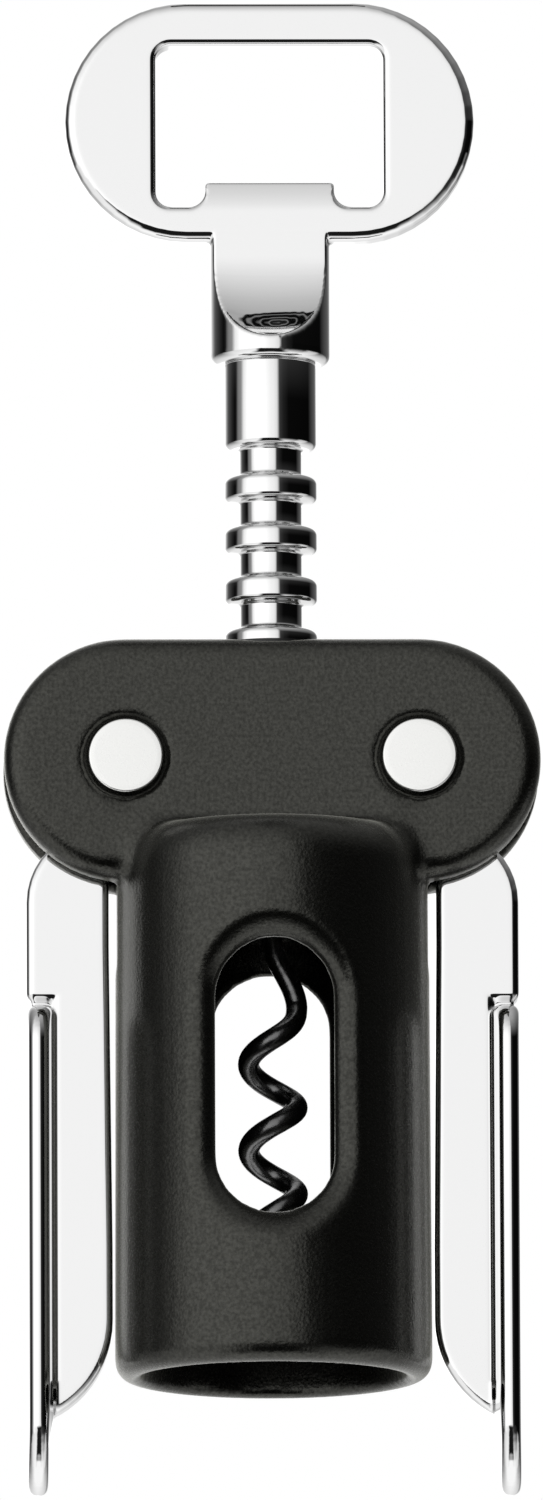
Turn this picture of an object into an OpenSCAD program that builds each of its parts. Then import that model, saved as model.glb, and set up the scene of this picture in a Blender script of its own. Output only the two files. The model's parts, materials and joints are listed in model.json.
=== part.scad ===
// Lever corkscrew: a bell that sits on the bottle's neck, two palm levers whose
// pinions raise a ringed rack spindle, a wire worm below it and a ring handle
// with a crown-cap window above it.
// Millimetres. The origin is on the spindle's axis where the neck socket's wall
// starts, +Z points up to the handle, and the levers swing in the XZ plane.

/* [Neck socket and bell] */
// Bore of the socket that goes over the bottle's neck
socket_bore = 30.5; // [29:0.1:31]
// Depth of the plain part of the socket
socket_depth = 10; // [8:0.5:12]
// Radius of the bell at its top
bell_top_r = 18.15; // [17.8:0.05:18.4]
// Radius of the bell at its mouth
bell_mouth_r = 18.35; // [18:0.05:18.4]
// Height of the bell's shoulder
bell_top_z = 63.8; // [62:0.1:66]
// Width of the sight windows, front and rear
window_w = 13.7; // [12:0.1:15]
// Lower end of the sight windows
window_low_z = 17.2; // [15:0.1:20]
// Upper end of the sight windows
window_high_z = 49.1; // [44:0.1:50]

/* [Crosshead] */
// Distance of each lever pivot from the spindle's axis
pivot_x = 17; // [17:0.05:17.2]
// Height of the lever pivots
pivot_z = 71.4; // [71.2:0.1:71.6]
// Radius of the crosshead around each pivot
cheek_r = 14.1; // [14:0.05:15]
// Thickness of the crosshead, front to rear
crosshead_t = 16.1; // [15.5:0.1:18]
// Width of the slot that the levers swing in
slot_w = 6.2; // [6.1:0.05:6.4]

/* [Levers] */
// Thickness of the lever's web and pinion
lever_t = 5; // [4.6:0.1:5]
// Outside face of the palm flange, from the spindle's axis
flange_x = 28.5; // [28:0.1:28.8]
// Width of the palm flange, front to rear
flange_w = 16.6; // [14:0.1:18]
// Lowest point of the lever
lever_tip_z = -13.8; // [-18:0.1:-10]
// Number of teeth on a full turn of the pinion
pinion_teeth = 13; // [13:1:13]

/* [Rack spindle and worm] */
// Outside radius of the rack rings
rack_r = 5.35; // [5.3:0.05:5.35]
// Radius of the spindle between the rings
rack_root_r = 3.58; // [3.4:0.02:3.6]
// Distance from one rack ring to the next
rack_pitch = 6; // [6:0.1:6]
// Underside of the uppermost rack ring
rack_top_z = 102.5; // [102.4:0.05:102.6]
// Outside diameter of the worm
worm_d = 8.1; // [7:0.1:9]
// Diameter of the worm's wire
worm_wire_d = 2.5; // [2:0.1:2.6]
// Rise of the worm in one turn
worm_pitch = 10.1; // [9:0.1:11]

/* [Opener handle] */
// Width of the ring handle
ring_w = 47.6; // [44:0.1:50]
// Height of the ring handle
ring_h = 28.2; // [27.5:0.1:30]
// Top of the ring handle
ring_top_z = 161.3; // [161:0.1:164]
// Thickness of the ring handle
ring_t = 4.6; // [4:0.1:5]
// Width of the crown-cap window
opener_w = 26.5; // [26:0.1:28]
// Radius of the neck under the ring
neck_r = 6.93; // [6.6:0.01:7.2]

/* [Hidden] */
$fn = 96;
eps = 0.01;
left = -1;
right = 1;
front = -1;
rear = 1;

// Bell
mouth_chamfer = 0.4;
mouth_land_r = 16.15;
mouth_round_r = bell_mouth_r - mouth_land_r;
shoulder_round_r = 4.5;
cavity_r = 14.9;
ceiling_z = 54;
seat_rib_t = 2;
seat_rib_r = 12.4;

// Crosshead, its slot and its bores
cheek_round_r = 2.2;
cheek_y = crosshead_t / 2;
slot_r = 13.45;
slot_open_top_x = 10.2;
slot_open_side_x = 18;
slot_reach = 24;
guide_bore_r = 5.9;
bush_r = 6.6;
bush_bore_r = rack_r + 0.08;
bush_gap = 9;
crosshead_top_z = pivot_z + cheek_r;

// Pivot pins
pin_r = 2.5;
pin_head_r = 4.42;
pin_head_proud = 1;
counterbore_r = 4.75;
counterbore_depth = 1.5;
counterbore_floor_y = cheek_y - counterbore_depth;
pin_tail_y = cheek_y;
head_round_r = 0.25;
washer_t = 0.5;
washer_r = 5.5;
washer_y = lever_t / 2 + 0.07;
running_gap = 0.05;
lever_bush_r = 3.5;

// Pinion: the rings pass its teeth with play on both sides
pitch_r = pinion_teeth * rack_pitch / (2 * PI);
tooth_step = 360 / pinion_teeth;
tooth_tip_r = 13.1;
tooth_root_r = 11.2;
tooth_tip_half = 1.1;
tooth_base_half = 1.5;
tooth_count = 8;
// The tooth in mesh stands in the middle of the gap between two rings
mesh_z = rack_top_z - 6 * rack_pitch + 4.3;
mesh_angle = 180 + asin((pivot_z - mesh_z) / pitch_r);

// Lever arm
web_low_x = 18.6;
web_high_x = 18.95;
web_end_r = 12.4;
web_end_z = 6.5;
shoulder_z = 55.3;
lever_shoulder_r = 8.6;
flange_top_z = 44.4;
flange_corner_r = 4;
flange_mid_t = 3.2;
flange_edge_t = 2.15;
flange_crown = 0.25;
flange_half = flange_w / 2;
crown_r = (flange_half * flange_half + flange_crown * flange_crown) / (2 * flange_crown);

// Spindle
ring_band_h = 2.6;
ring_full_h = 3.05;
ring_count = 8;
collar_r = 5.3;
collar_low_z = 108.6;
neck_low_z = 118.7;
tenon_r = 3;
tenon_top_z = 125;
land_top_z = 57.4;
spindle_low_z = 51.6;
groove_low_z = 52.95;
groove_high_z = 53.85;
groove_r = 4.2;
stop_ring_r = 6.6;
stop_ring_t = 0.8;
worm_socket_top_z = 64;
worm_pin_z = 55.6;
worm_pin_r = 0.6;
handle_pin_z = 121.7;
handle_pin_r = 1;
pin_inset = 0.15;

// Worm
wire_r = worm_wire_d / 2;
coil_r = (worm_d - worm_wire_d) / 2;
worm_tip_z = 11.4;
// A turn of the coil points to +X at this height
coil_phase_z = 31.5;
// Above this height the coil's turn eases off, and then the wire runs in to the axis
ease_z = 36.55;
ease_rise = 7.35;
coil_top_z = 43;
shank_start_z = 51.2;
taper_length = 9;
tip_wire_r = 0.12;
wire_sides = 10;
rings_per_turn = 20;

// Handle
window_top_z = 156.2;
window_low_edge_z = 137.15;
tab_top_z = 140;
tab_w = 15;
lip_low_z = 136.7;
lip_drop = 0.6;
notch_r = 1.9;
window_corner_r = 1.7;
scoop_r = 12.5;
scoop_z = 131;
neck_round_r = 1;
ring_end_r = ring_h / 2;
ring_mid_z = ring_top_z - ring_end_r;

// --- Shared shapes ---------------------------------------------------------

// Lays a flat outline drawn in x and z into the XZ plane, t thick about y = 0
module plate(t) rotate([90, 0, 0]) linear_extrude(t, center = true) children();

// Rod along Y from y0 to y1
module rod_y(r, y0, y1) translate([0, y1, 0]) rotate([90, 0, 0]) cylinder(r = r, h = y1 - y0);

// Tube along Z
module tube(r_out, r_in, z0, z1) translate([0, 0, z0]) difference() {
    cylinder(r = r_out, h = z1 - z0);
    translate([0, 0, -1]) cylinder(r = r_in, h = z1 - z0 + 2);
}

// Rectangle w by h about the origin with corners of radius r
module round_rect(w, h, r) {
    square([w - 2 * r, h], center = true);
    square([w, h - 2 * r], center = true);
    for (sx = [-1, 1], sy = [-1, 1]) translate([sx * (w / 2 - r), sy * (h / 2 - r)]) circle(r);
}

// Disc about the Y axis with rounded rims
module round_disc(r, t, round_r) rotate([90, 0, 0]) rotate_extrude() intersection() {
    round_rect(2 * r, t, round_r);
    translate([0, -t]) square([r + 1, 2 * t]);
}

// Domed rivet head about the Y axis, from y = 0 out to y = -h
module rivet_head(h) rotate([90, 0, 0]) rotate_extrude() {
    square([pin_head_r - head_round_r, h]);
    square([pin_head_r, h - head_round_r]);
    translate([pin_head_r - head_round_r, h - head_round_r]) circle(head_round_r);
}

// --- Housing ---------------------------------------------------------------

module bell_solid() rotate_extrude() {
    polygon([
        [0, -mouth_chamfer],
        [mouth_land_r, -mouth_chamfer],
        [bell_mouth_r, mouth_round_r - mouth_chamfer],
        [bell_top_r, bell_top_z - shoulder_round_r],
        [bell_top_r - shoulder_round_r, bell_top_z],
        [0, bell_top_z]
    ]);
    translate([mouth_land_r, mouth_round_r - mouth_chamfer]) circle(mouth_round_r);
    translate([bell_top_r - shoulder_round_r, bell_top_z - shoulder_round_r]) circle(shoulder_round_r);
}

module crosshead_solid() translate([0, 0, pivot_z]) {
    for (side = [left, right]) translate([side * pivot_x, 0, 0])
        round_disc(cheek_r, crosshead_t, cheek_round_r);
    rotate([90, 0, 90]) linear_extrude(2 * pivot_x, center = true)
        round_rect(crosshead_t, 2 * cheek_r, cheek_round_r);
}

// Room that the lever's pinion and arm swing through
module lever_slot(side) translate([side * pivot_x, 0, pivot_z]) mirror([side == left ? 1 : 0, 0, 0])
    plate(slot_w) {
        circle(slot_r);
        translate([slot_open_top_x - pivot_x, 0]) square([slot_reach, slot_reach]);
        translate([slot_open_side_x - pivot_x, -slot_reach]) square([slot_reach, slot_reach + eps]);
    }

// Socket for the neck, cavity round the worm and the four ribs that the bottle's mouth meets
module bell_hollow() {
    translate([0, 0, -mouth_chamfer - eps])
        cylinder(r1 = socket_bore / 2 + 0.8, r2 = socket_bore / 2, h = mouth_chamfer + eps);
    translate([0, 0, -eps]) cylinder(r = socket_bore / 2, h = socket_depth + eps);
    difference() {
        translate([0, 0, socket_depth - eps]) cylinder(r = cavity_r, h = ceiling_z - socket_depth + eps);
        for (a = [45:90:315]) rotate([0, 0, a])
            translate([seat_rib_r, -seat_rib_t / 2, socket_depth]) cube([cavity_r, seat_rib_t, ceiling_z]);
    }
}

module sight_windows() plate(4 * bell_mouth_r) {
    for (z = [window_low_z, window_high_z])
        translate([0, z + (z == window_low_z ? 1 : -1) * window_w / 2]) circle(window_w / 2);
    translate([-window_w / 2, window_low_z + window_w / 2])
        square([window_w, window_high_z - window_low_z - window_w]);
}

module pivot_bores() for (side = [left, right]) translate([side * pivot_x, 0, pivot_z]) {
    rod_y(pin_r, -crosshead_t, crosshead_t);
    rod_y(counterbore_r, counterbore_floor_y, crosshead_t);
    rod_y(counterbore_r, -crosshead_t, -counterbore_floor_y);
}

module spindle_bores() {
    cylinder(r = guide_bore_r, h = crosshead_top_z + 1);
    translate([0, 0, pivot_z + bush_gap]) cylinder(r = bush_r, h = cheek_r);
    translate([0, 0, ceiling_z - 1]) cylinder(r = bush_r, h = pivot_z - bush_gap - ceiling_z + 1);
}

module housing() color("#3f3e39") difference() {
    union() {
        bell_solid();
        crosshead_solid();
    }
    bell_hollow();
    sight_windows();
    for (side = [left, right]) lever_slot(side);
    pivot_bores();
    spindle_bores();
}

module upper_guide_bush() color("ivory")
    tube(bush_r, bush_bore_r, pivot_z + bush_gap, crosshead_top_z);

module lower_guide_bush() color("ivory")
    tube(bush_r, bush_bore_r, ceiling_z, pivot_z - bush_gap);

// --- Pivot pins, their caps and the thrust washers -------------------------

module pivot_pin(side) color("gainsboro") translate([side * pivot_x, 0, pivot_z]) {
    translate([0, -counterbore_floor_y, 0]) rivet_head(counterbore_depth + pin_head_proud);
    rod_y(pin_r, -counterbore_floor_y - eps, pin_tail_y);
}

module pivot_cap(side) color("gainsboro") translate([side * pivot_x, 0, pivot_z]) difference() {
    translate([0, counterbore_floor_y, 0]) mirror([0, 1, 0]) rivet_head(counterbore_depth + pin_head_proud);
    rod_y(pin_r, 0, pin_tail_y);
}

module thrust_washer(side, face) color("ivory") translate([side * pivot_x, 0, pivot_z])
    mirror([0, face == front ? 1 : 0, 0]) difference() {
        rod_y(washer_r, washer_y, washer_y + washer_t);
        rod_y(pin_r + running_gap, 0, cheek_y);
    }

// --- Levers ----------------------------------------------------------------

// Outline of one tooth that points along +x from the pinion's centre
module tooth_outline() polygon([
    [0, -tooth_base_half],
    [tooth_root_r, -tooth_base_half],
    [tooth_tip_r, -tooth_tip_half],
    [tooth_tip_r, tooth_tip_half],
    [tooth_root_r, tooth_base_half],
    [0, tooth_base_half]
]);

module pinion_outline() intersection() {
    circle(tooth_tip_r);
    union() {
        circle(tooth_root_r);
        for (i = [0:tooth_count - 1]) rotate(mesh_angle + (1 - i) * tooth_step) tooth_outline();
    }
}

// Outline of the arm's web, from the pinion's centre down to its rounded end
module web_outline() {
    shoulder_x = flange_x - lever_shoulder_r;
    web_back_x = flange_x - flange_mid_t + 1;
    polygon([
        [pivot_x, pivot_z],
        [web_high_x, pivot_z - tooth_root_r + 1],
        [web_high_x, 50],
        [web_low_x, 15],
        [web_low_x, web_end_z],
        [web_back_x, web_end_z],
        [web_back_x, flange_top_z - 1],
        [flange_x, flange_top_z - 1],
        for (a = [0:9:45]) [shoulder_x + lever_shoulder_r * cos(a), shoulder_z + lever_shoulder_r * sin(a)],
        [pivot_x + tooth_root_r * cos(36), pivot_z - tooth_root_r * sin(36)]
    ]);
    intersection() {
        translate([web_low_x + web_end_r, web_end_z]) circle(web_end_r);
        translate([web_low_x, web_end_z - web_end_r])
            square([web_back_x - web_low_x, web_end_r + eps]);
    }
}

// Outline of the palm flange, seen from its outside face
module flange_outline() {
    translate([0, lever_tip_z + flange_half]) circle(flange_half);
    translate([-flange_half, lever_tip_z + flange_half])
        square([flange_w, flange_top_z - flange_corner_r - lever_tip_z - flange_half]);
    translate([-flange_half + flange_corner_r, flange_top_z - 2 * flange_corner_r])
        square([flange_w - 2 * flange_corner_r, 2 * flange_corner_r]);
    for (s = [-1, 1]) translate([s * (flange_half - flange_corner_r), flange_top_z - flange_corner_r])
        circle(flange_corner_r);
}

// Cross-section of the palm flange: crowned outside, thicker where it meets the web
module flange_section() intersection() {
    translate([flange_x - crown_r, 0]) circle(crown_r, $fn = 720);
    polygon([
        [flange_x - flange_mid_t, -lever_t / 2],
        [flange_x - flange_crown - flange_edge_t, -flange_half - 1],
        [flange_x + 1, -flange_half - 1],
        [flange_x + 1, flange_half + 1],
        [flange_x - flange_crown - flange_edge_t, flange_half + 1],
        [flange_x - flange_mid_t, lever_t / 2]
    ]);
}

module palm_flange() intersection() {
    translate([flange_x - flange_mid_t - 1, 0, 0]) rotate([90, 0, 90])
        linear_extrude(flange_mid_t + 2) flange_outline();
    translate([0, 0, lever_tip_z - 1]) linear_extrude(flange_top_z - lever_tip_z + 2) flange_section();
}

module lever(side) color("silver") mirror([side == left ? 1 : 0, 0, 0]) difference() {
    union() {
        plate(lever_t) {
            translate([pivot_x, pivot_z]) pinion_outline();
            web_outline();
        }
        palm_flange();
    }
    translate([pivot_x, 0, pivot_z]) rod_y(lever_bush_r, -lever_t, lever_t);
}

module lever_bush(side) color("ivory") translate([side * pivot_x, 0, pivot_z]) difference() {
    rod_y(lever_bush_r, -lever_t / 2, lever_t / 2);
    rod_y(pin_r + running_gap, -lever_t, lever_t);
}

// --- Rack spindle, stop ring and handle ------------------------------------

// One rack ring: flat underside, short band, sloped upper flank
module rack_ring() rotate_extrude() polygon([
    [0, 0],
    [rack_r - 0.5, 0],
    [rack_r, 0.5],
    [rack_r, ring_band_h - 0.65],
    [rack_r - 0.65, ring_band_h],
    [rack_root_r, ring_full_h],
    [0, ring_full_h]
]);

module rack_spindle() color("silver") difference() {
    union() {
        translate([0, 0, land_top_z - eps]) cylinder(r = rack_root_r, h = collar_low_z - land_top_z + 1);
        for (i = [0:ring_count - 1]) translate([0, 0, rack_top_z - i * rack_pitch]) rack_ring();
        translate([0, 0, collar_low_z]) cylinder(r = collar_r, h = neck_low_z - collar_low_z);
        translate([0, 0, neck_low_z - eps]) cylinder(r = tenon_r, h = tenon_top_z - neck_low_z + eps);
        translate([0, 0, groove_high_z]) cylinder(r = rack_r, h = land_top_z - groove_high_z);
        translate([0, 0, spindle_low_z]) cylinder(r = groove_r, h = 4);
        translate([0, 0, spindle_low_z]) cylinder(r = rack_r, h = groove_low_z - spindle_low_z);
    }
    translate([0, 0, spindle_low_z - 1]) cylinder(r = wire_r, h = worm_socket_top_z - spindle_low_z + 1);
    translate([-rack_r - 1, 0, worm_pin_z]) rotate([0, 90, 0]) cylinder(r = worm_pin_r, h = 2 * rack_r + 2);
    translate([-tenon_r - 1, 0, handle_pin_z]) rotate([0, 90, 0]) cylinder(r = handle_pin_r, h = 2 * tenon_r + 2);
}

// Open snap ring in the groove at the spindle's lower end
module stop_ring() color("dimgray") translate([0, 0, (groove_low_z + groove_high_z - stop_ring_t) / 2])
    difference() {
        cylinder(r = stop_ring_r, h = stop_ring_t);
        translate([0, 0, -1]) cylinder(r = groove_r + running_gap, h = stop_ring_t + 2);
        translate([0, -1, -1]) cube([2 * stop_ring_r, 2, stop_ring_t + 2]);
    }

module opener_window() {
    mid_z = (window_low_edge_z + window_top_z) / 2;
    difference() {
        translate([0, mid_z]) round_rect(opener_w, window_top_z - window_low_edge_z, window_corner_r);
        // Lip that hooks under the crown cap, between two round notches
        translate([-tab_w / 2, 0]) square([tab_w, tab_top_z]);
        for (s = [-1, 1]) translate([s * tab_w / 2, 0]) square([2 * notch_r, 2 * (window_low_edge_z + notch_r)], center = true);
    }
    for (s = [-1, 1]) translate([s * (tab_w / 2 + notch_r), window_low_edge_z + notch_r]) circle(notch_r);
}

module ring_plate() plate(ring_t) difference() {
    union() {
        for (s = [-1, 1]) translate([s * (ring_w / 2 - ring_end_r), ring_mid_z]) circle(ring_end_r);
        translate([-(ring_w / 2 - ring_end_r), ring_top_z - ring_h]) square([ring_w - ring_h, ring_h]);
    }
    opener_window();
}

// Round neck, scooped front and rear down to the ring's thickness
module handle_neck() {
    difference() {
        rotate_extrude() {
            translate([0, neck_low_z]) square([neck_r - neck_round_r, scoop_z - neck_low_z]);
            translate([0, neck_low_z + neck_round_r]) square([neck_r, scoop_z - neck_low_z - neck_round_r]);
            translate([neck_r - neck_round_r, neck_low_z + neck_round_r]) circle(neck_round_r);
        }
        for (s = [-1, 1]) translate([-2 * neck_r, s * (ring_t / 2 + scoop_r), scoop_z])
            rotate([0, 90, 0]) cylinder(r = scoop_r, h = 4 * neck_r);
    }
    translate([-neck_r, -ring_t / 2, scoop_z - eps])
        cube([2 * neck_r, ring_t, ring_top_z - ring_h + 1 - scoop_z]);
}

// Thins the lip towards its edge, front and rear
module lip_tapers() for (s = [-1, 1]) mirror([0, s < 0 ? 1 : 0, 0])
    translate([-tab_w / 2, 0, 0]) rotate([90, 0, 90]) linear_extrude(tab_w) polygon([
        [ring_t / 2, lip_low_z],
        [ring_t, lip_low_z],
        [ring_t, tab_top_z + 1],
        [ring_t / 2 - lip_drop, tab_top_z + 1]
    ]);

module opener_handle() color("silver") difference() {
    union() {
        ring_plate();
        handle_neck();
    }
    lip_tapers();
    translate([0, 0, neck_low_z - 1]) cylinder(r = tenon_r, h = tenon_top_z - neck_low_z + 1);
    translate([-neck_r - 1, 0, handle_pin_z]) rotate([0, 90, 0]) cylinder(r = handle_pin_r, h = 2 * neck_r + 2);
}

module handle_cross_pin() color("gray") translate([-neck_r + pin_inset, 0, handle_pin_z])
    rotate([0, 90, 0]) cylinder(r = handle_pin_r, h = 2 * (neck_r - pin_inset));

// --- Worm ------------------------------------------------------------------

// Share of the coil's radius at height z: full below the last turn, none in the shank
function coil_share(z) = z < coil_top_z ? 1
    : z > shank_start_z ? 0
    : (1 + cos(180 * (z - coil_top_z) / (shank_start_z - coil_top_z))) / 2;
// Angle of the coil at height z: even up to ease_z, then easing off to a stand
function worm_angle(z) = let (
        u = min(1, max(0, (z - ease_z) / ease_rise)),
        start = 2 * ease_rise / worm_pitch
    ) 360 * (min(z, ease_z) - coil_phase_z) / worm_pitch
        + 180 * (start * (pow(u, 3) - 2 * u * u + u) + 3 * u * u - 2 * pow(u, 3));
// Middle of the wire at height z, on a right-handed coil
function worm_point(z) = let (a = worm_angle(z), r = coil_r * coil_share(z))
    [r * cos(a), r * sin(a), z];
// Radius of the wire at height z, ground to a point at the tip
function worm_wire_r(z) = z > worm_tip_z + taper_length ? wire_r
    : tip_wire_r + (wire_r - tip_wire_r) * sqrt((z - worm_tip_z) / taper_length);
function unit(v) = v / norm(v);
// Ring of points round the wire at height z, square to the wire's run
function worm_ring(z) = let (
        a = worm_angle(z),
        outward = [cos(a), sin(a), 0],
        ahead = unit(worm_point(z + 0.05) - worm_point(z - 0.05)),
        side = unit(outward - ahead * (outward * ahead)),
        up = cross(side, ahead)
    ) [for (i = [0:wire_sides - 1])
        worm_point(z) + worm_wire_r(z) * (side * cos(360 * i / wire_sides) + up * sin(360 * i / wire_sides))];

// The whole wire in one sweep: the coil, then one straight length up into the spindle
module worm_wire() {
    coil_rings = ceil((shank_start_z - worm_tip_z) / worm_pitch * rings_per_turn);
    coil_rise = (shank_start_z - worm_tip_z) / coil_rings;
    heights = [for (k = [0:coil_rings]) worm_tip_z + k * coil_rise, worm_socket_top_z];
    last = len(heights) - 1;
    points = [for (z = heights) each worm_ring(z)];
    sides = [for (k = [0:last - 1], i = [0:wire_sides - 1]) let (j = (i + 1) % wire_sides, n = k * wire_sides)
        [n + j, n + wire_sides + j, n + wire_sides + i, n + i]];
    low_end = [for (i = [wire_sides - 1:-1:0]) i];
    high_end = [for (i = [0:wire_sides - 1]) last * wire_sides + i];
    polyhedron(points, concat(sides, [low_end, high_end]), convexity = 8);
}

module worm() color("#1c1c1c") difference() {
    worm_wire();
    translate([-rack_r, 0, worm_pin_z]) rotate([0, 90, 0]) cylinder(r = worm_pin_r, h = 2 * rack_r);
}

module worm_cross_pin() color("gray") translate([-rack_r + pin_inset, 0, worm_pin_z])
    rotate([0, 90, 0]) cylinder(r = worm_pin_r, h = 2 * (rack_r - pin_inset));

// --- Nodes -----------------------------------------------------------------

housing();
upper_guide_bush();
lower_guide_bush();
pivot_pin(left);  // pivot_pin_left
pivot_pin(right);  // pivot_pin_right
pivot_cap(left);  // pivot_cap_left
pivot_cap(right);  // pivot_cap_right
thrust_washer(left, front);  // thrust_washer_left_front
thrust_washer(left, rear);  // thrust_washer_left_rear
thrust_washer(right, front);  // thrust_washer_right_front
thrust_washer(right, rear);  // thrust_washer_right_rear
lever(left);  // lever_left
lever(right);  // lever_right
lever_bush(left);  // lever_bush_left
lever_bush(right);  // lever_bush_right
stop_ring();
rack_spindle();
opener_handle();
handle_cross_pin();
worm();
worm_cross_pin();
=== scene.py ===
"""Looks of the lever corkscrew: its finished meshes, finishes, studio and camera.

Sizes are in millimetres and are turned to metres where a mesh becomes an object.
"""

import json
import logging
import math
from dataclasses import dataclass
from enum import Enum

import bmesh
import bpy
from mathutils import Matrix, Vector


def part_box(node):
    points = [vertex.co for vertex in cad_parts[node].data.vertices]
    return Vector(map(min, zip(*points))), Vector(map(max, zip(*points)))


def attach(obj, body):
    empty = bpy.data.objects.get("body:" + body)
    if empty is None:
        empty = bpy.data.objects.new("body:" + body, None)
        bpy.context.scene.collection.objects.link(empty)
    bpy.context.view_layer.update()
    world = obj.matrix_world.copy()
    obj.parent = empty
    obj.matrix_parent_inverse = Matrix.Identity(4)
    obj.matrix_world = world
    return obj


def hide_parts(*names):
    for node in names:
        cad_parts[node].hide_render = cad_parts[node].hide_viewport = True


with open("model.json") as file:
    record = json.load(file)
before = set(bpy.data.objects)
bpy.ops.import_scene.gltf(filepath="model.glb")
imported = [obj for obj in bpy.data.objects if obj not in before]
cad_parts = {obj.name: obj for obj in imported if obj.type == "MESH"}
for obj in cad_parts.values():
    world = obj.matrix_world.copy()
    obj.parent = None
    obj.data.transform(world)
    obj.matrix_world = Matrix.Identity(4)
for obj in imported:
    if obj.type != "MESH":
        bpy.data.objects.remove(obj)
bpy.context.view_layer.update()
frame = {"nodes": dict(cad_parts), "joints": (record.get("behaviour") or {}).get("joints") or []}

log = logging.getLogger("corkscrew")
MM = 0.001
ROUND_STEPS = 128
ARC_STEP = 7.5
DOUBLED = 1e-3
AXES = {"X": (1, 0, 0), "Y": (0, 1, 0), "Z": (0, 0, 1)}

Solid = bmesh.types.BMesh
Face = bmesh.types.BMFace
Piece = bpy.types.Object
Material = bpy.types.Material
Outline = list[tuple[float, float]]


class Side(Enum):
    """The left or the right lever, seen from the front."""

    LEFT = -1
    RIGHT = 1

    @property
    def word(self) -> str:
        """The side's name as the nodes and bodies spell it."""
        return self.name.lower()


# --- Mesh tools --------------------------------------------------------------


def rounded(corners: list[tuple[float, float, float]], closed: bool = True) -> Outline:
    """Rounds the corners of an outline.

    Args:
        corners: u, v and radius of each corner, in order.
        closed: False for an open profile, whose two ends stay as they are.

    Returns:
        The outline's points, with each rounded corner as an arc.
    """
    points = []
    count = len(corners)
    for i, (u, v, radius) in enumerate(corners):
        here = Vector((u, v))
        if radius <= 0 or (not closed and i in (0, count - 1)):
            points.append((u, v))
            continue
        before = (Vector(corners[i - 1][:2]) - here).normalized()
        after = (Vector(corners[(i + 1) % count][:2]) - here).normalized()
        half = before.angle(after) / 2
        centre = here + (before + after).normalized() * (radius / math.sin(half))
        start = here + before * (radius / math.tan(half)) - centre
        sweep = math.pi - 2 * half
        if before.cross(after) > 0:
            sweep = -sweep
        steps = max(2, math.ceil(abs(math.degrees(sweep)) / ARC_STEP))
        for k in range(steps + 1):
            points.append(tuple(centre + Matrix.Rotation(sweep * k / steps, 2) @ start))
    apart = [p for i, p in enumerate(points) if i == 0 or math.dist(p, points[i - 1]) > DOUBLED]
    if closed and math.dist(apart[0], apart[-1]) < DOUBLED:
        apart.pop()
    return apart


def prism(outline: Outline, low: float, high: float, axis: str = "Y") -> Solid:
    """Extrudes a flat outline into a solid.

    Args:
        outline: points in XZ for axis Y, in YZ for axis X and in XY for axis Z.
        low: where the solid starts along the axis.
        high: where it ends.
        axis: the letter of the axis.

    Returns:
        A closed bmesh.
    """
    place = {
        "X": lambda u, v: (low, u, v),
        "Y": lambda u, v: (u, low, v),
        "Z": lambda u, v: (u, v, low),
    }[axis]
    bm = bmesh.new()
    face = bm.faces.new([bm.verts.new(place(u, v)) for u, v in outline])
    grown = bmesh.ops.extrude_face_region(bm, geom=[face])["geom"]
    far = [g for g in grown if isinstance(g, bmesh.types.BMVert)]
    bmesh.ops.translate(bm, verts=far, vec=Vector(AXES[axis]) * (high - low))
    bmesh.ops.recalc_face_normals(bm, faces=bm.faces)
    return bm


def turned(profile: Outline, steps: int = ROUND_STEPS) -> Solid:
    """Spins a profile once round the Z axis.

    Args:
        profile: (radius, height) points from one end on the axis to the other.
        steps: how many faces go round.

    Returns:
        A closed bmesh.
    """
    bm = bmesh.new()
    verts = [bm.verts.new((r, 0, z)) for r, z in profile]
    edges = [bm.edges.new(pair) for pair in zip(verts, verts[1:])]
    bmesh.ops.spin(
        bm, geom=verts + edges, cent=(0, 0, 0), axis=(0, 0, 1), dvec=(0, 0, 0),
        angle=math.tau, steps=steps, use_merge=True, use_duplicate=False,
    )
    bmesh.ops.remove_doubles(bm, verts=bm.verts, dist=1e-4)
    bmesh.ops.recalc_face_normals(bm, faces=bm.faces)
    return bm


def round_edges(bm: Solid, width: float, segments: int, sharper_than: float = 40,
                clamp: bool = False) -> None:
    """Bevels every edge whose faces meet at more than a given angle.

    Args:
        bm: the solid.
        width: the bevel's width.
        segments: how many faces round it off.
        sharper_than: the angle in degrees.
        clamp: whether close edges hold the width back.
    """
    sharp = [e for e in bm.edges if e.calc_face_angle(0) > math.radians(sharper_than)]
    bmesh.ops.bevel(
        bm, geom=sharp, offset=width, offset_type="OFFSET", segments=segments, profile=0.5,
        affect="EDGES", clamp_overlap=clamp, material=-1,
    )


def extruded(bm: Solid, face: Face) -> Face:
    """Extrudes a face of a solid in place.

    Args:
        bm: the solid.
        face: the face, which is used up.

    Returns:
        The new face, still where the old one was.
    """
    grown = bmesh.ops.extrude_face_region(bm, geom=[face])["geom"]
    if face.is_valid:
        bmesh.ops.delete(bm, geom=[face], context="FACES_ONLY")
    return next(g for g in grown if isinstance(g, Face))


def slice_across(bm: Solid, axis: str, at: float) -> None:
    """Adds edges all round a solid where it crosses a plane.

    Args:
        bm: the solid.
        axis: the letter of the axis that the plane is square to.
        at: the plane's place along the axis.
    """
    bmesh.ops.bisect_plane(bm, geom=bm.verts[:] + bm.edges[:] + bm.faces[:],
                           plane_co=Vector(AXES[axis]) * at, plane_no=AXES[axis])


def moved(bm: Solid, matrix: Matrix) -> Solid:
    """Transforms a bmesh and keeps its faces pointing outwards."""
    bmesh.ops.transform(bm, matrix=matrix, verts=bm.verts)
    if matrix.determinant() < 0:
        bmesh.ops.reverse_faces(bm, faces=bm.faces)
    return bm


def joined(*parts: Solid) -> Solid:
    """Puts several closed shells into one bmesh and frees them."""
    whole = bmesh.new()
    for part in parts:
        mesh = bpy.data.meshes.new("part")
        part.to_mesh(mesh)
        whole.from_mesh(mesh)
        bpy.data.meshes.remove(mesh)
        part.free()
    return whole


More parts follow.
